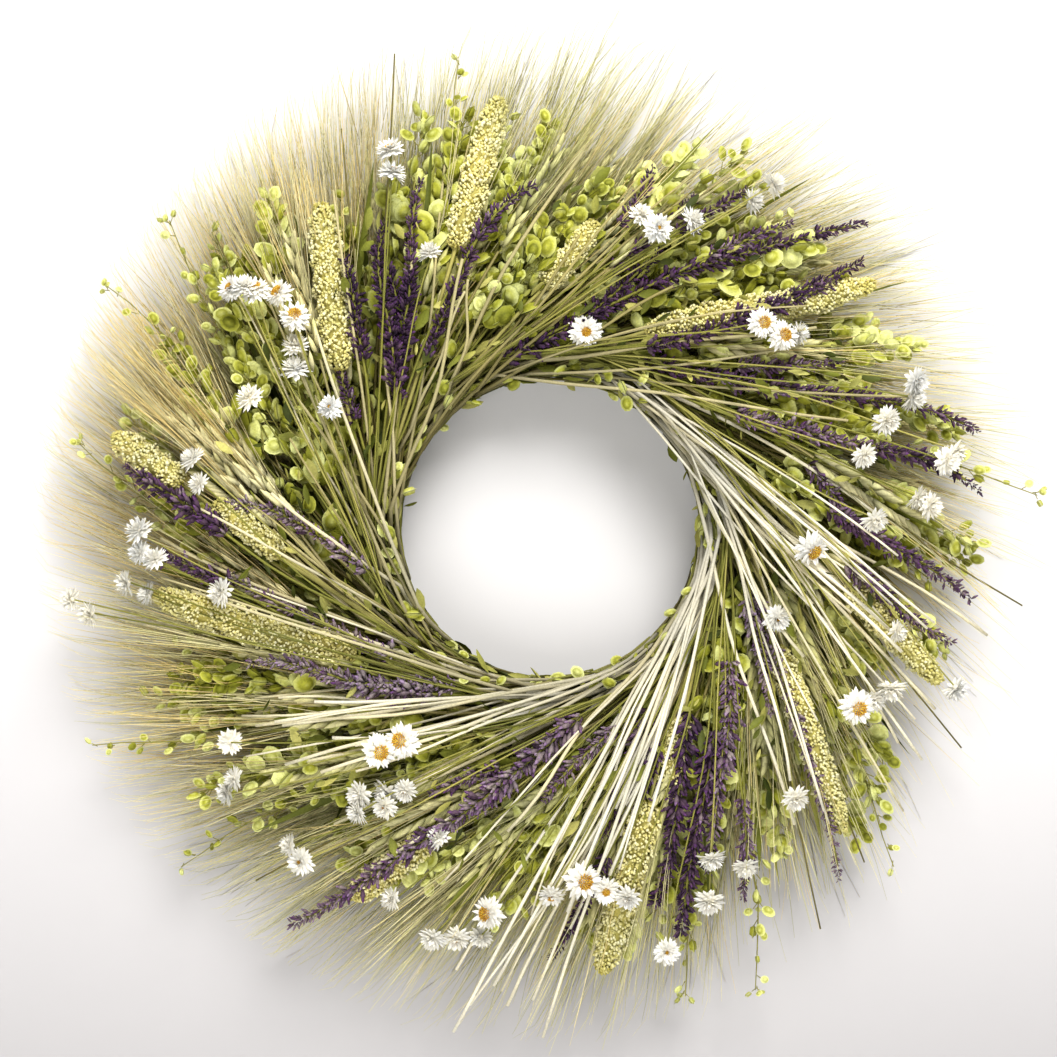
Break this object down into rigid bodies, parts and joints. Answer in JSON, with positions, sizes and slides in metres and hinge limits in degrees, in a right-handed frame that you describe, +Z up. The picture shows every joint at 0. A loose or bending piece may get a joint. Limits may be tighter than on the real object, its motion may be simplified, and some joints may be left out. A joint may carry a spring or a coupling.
{
  "type": "dried flower wreath",
  "caption": "Round wall wreath of dried wheat, seed pods, millet, purple spikes and white everlasting flowers bound in a clockwise swirl on a wire ring.",
  "frame": {"origin": "point of the wall hook that carries the underside of the outer rail at the top of the ring, in the plane of the wall", "axes": "+Z up as it hangs, +Y into the wall, so the flowers face -Y, +X to the viewer's right"},
  "size_m": [0.551, 0.0989, 0.5636],
  "materials": {
    "frame_steel": "satin",
    "binding_steel": "satin",
    "wheat_straw": "matte",
    "pennycress_pods": "matte",
    "setaria_seed": "matte",
    "salvia_bloom": "matte",
    "ammobium_petal": "matte"
  },
  "bodies": {
    "root": {"inner_rail": "frame_steel", "outer_rail": "frame_steel", "cross_tie_1": "frame_steel", "cross_tie_2": "frame_steel", "cross_tie_3": "frame_steel", "cross_tie_4": "frame_steel", "cross_tie_5": "frame_steel", "binding_wire": "binding_steel", "wheat_sheaf_01": "wheat_straw", "wheat_sheaf_02": "wheat_straw", "wheat_sheaf_03": "wheat_straw", "wheat_sheaf_04": "wheat_straw", "wheat_sheaf_05": "wheat_straw", "wheat_sheaf_06": "wheat_straw", "wheat_sheaf_07": "wheat_straw", "wheat_sheaf_08": "wheat_straw", "wheat_sheaf_09": "wheat_straw", "wheat_sheaf_10": "wheat_straw", "pennycress_01": "pennycress_pods", "pennycress_02": "pennycress_pods", "pennycress_03": "pennycress_pods", "pennycress_04": "pennycress_pods", "pennycress_05": "pennycress_pods", "pennycress_06": "pennycress_pods", "pennycress_07": "pennycress_pods", "pennycress_08": "pennycress_pods", "pennycress_09": "pennycress_pods", "pennycress_10": "pennycress_pods", "setaria_01": "setaria_seed", "setaria_02": "setaria_seed", "setaria_03": "setaria_seed", "setaria_04": "setaria_seed", "setaria_05": "setaria_seed", "setaria_06": "setaria_seed", "setaria_07": "setaria_seed", "setaria_08": "setaria_seed", "setaria_09": "setaria_seed", "setaria_10": "setaria_seed", "salvia_01": "salvia_bloom", "salvia_02": "salvia_bloom", "salvia_03": "salvia_bloom", "salvia_04": "salvia_bloom", "salvia_05": "salvia_bloom", "salvia_06": "salvia_bloom", "salvia_07": "salvia_bloom", "salvia_08": "salvia_bloom", "salvia_09": "salvia_bloom", "salvia_10": "salvia_bloom", "ammobium_01": "ammobium_petal", "ammobium_02": "ammobium_petal", "ammobium_03": "ammobium_petal", "ammobium_04": "ammobium_petal", "ammobium_05": "ammobium_petal", "ammobium_06": "ammobium_petal", "ammobium_07": "ammobium_petal", "ammobium_08": "ammobium_petal", "ammobium_09": "ammobium_petal", "ammobium_10": "ammobium_petal"}
  },
  "joints": []
}
